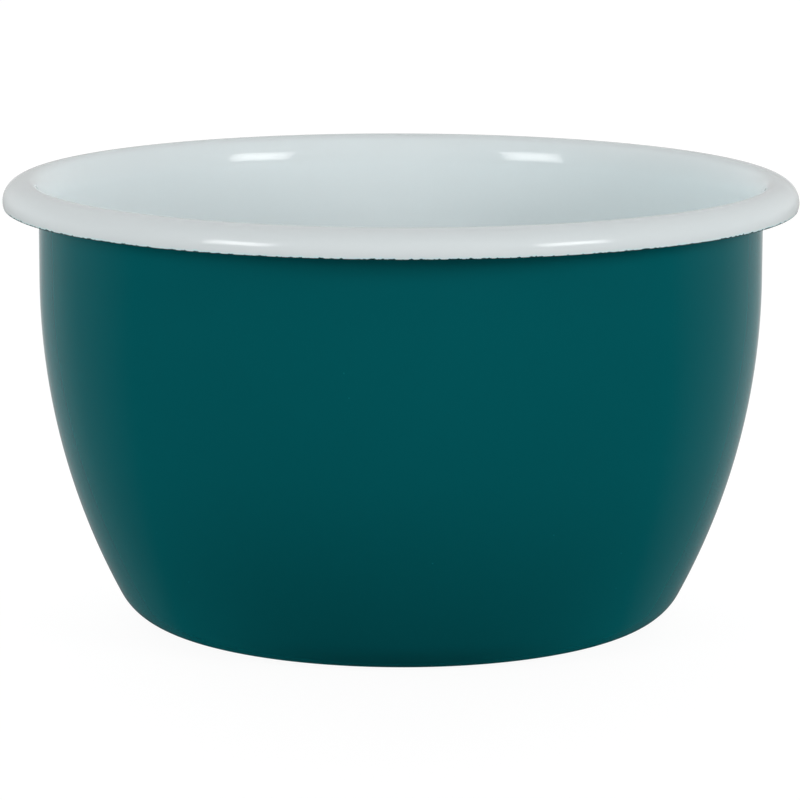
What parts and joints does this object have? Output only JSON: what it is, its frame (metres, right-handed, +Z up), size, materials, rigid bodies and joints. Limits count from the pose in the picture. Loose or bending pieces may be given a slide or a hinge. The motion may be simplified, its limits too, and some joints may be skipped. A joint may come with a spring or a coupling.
{
  "type": "enamel basin bowl",
  "caption": "Deep round enamelled steel bowl with a wide rolled rim, white inside and teal outside, standing on a flat foot ring",
  "frame": {"origin": "centre of the foot on the standing surface", "axes": "+Z up along the bowl's axis; X and Y are level and alike"},
  "size_m": [0.24, 0.24, 0.1345],
  "materials": {
    "bare_steel": "matt pressed sheet, hidden under the enamel",
    "ground_enamel": "dark glossy ground enamel",
    "white_enamel": "glossy white enamel with a faint blue-green cast",
    "teal_enamel": "glossy deep teal enamel"
  },
  "bodies": {
    "root": {"steel_shell": "bare_steel", "inside_ground_coat": "ground_enamel", "outside_ground_coat": "ground_enamel", "white_cover_coat": "white_enamel", "teal_cover_coat": "teal_enamel"}
  },
  "joints": []
}
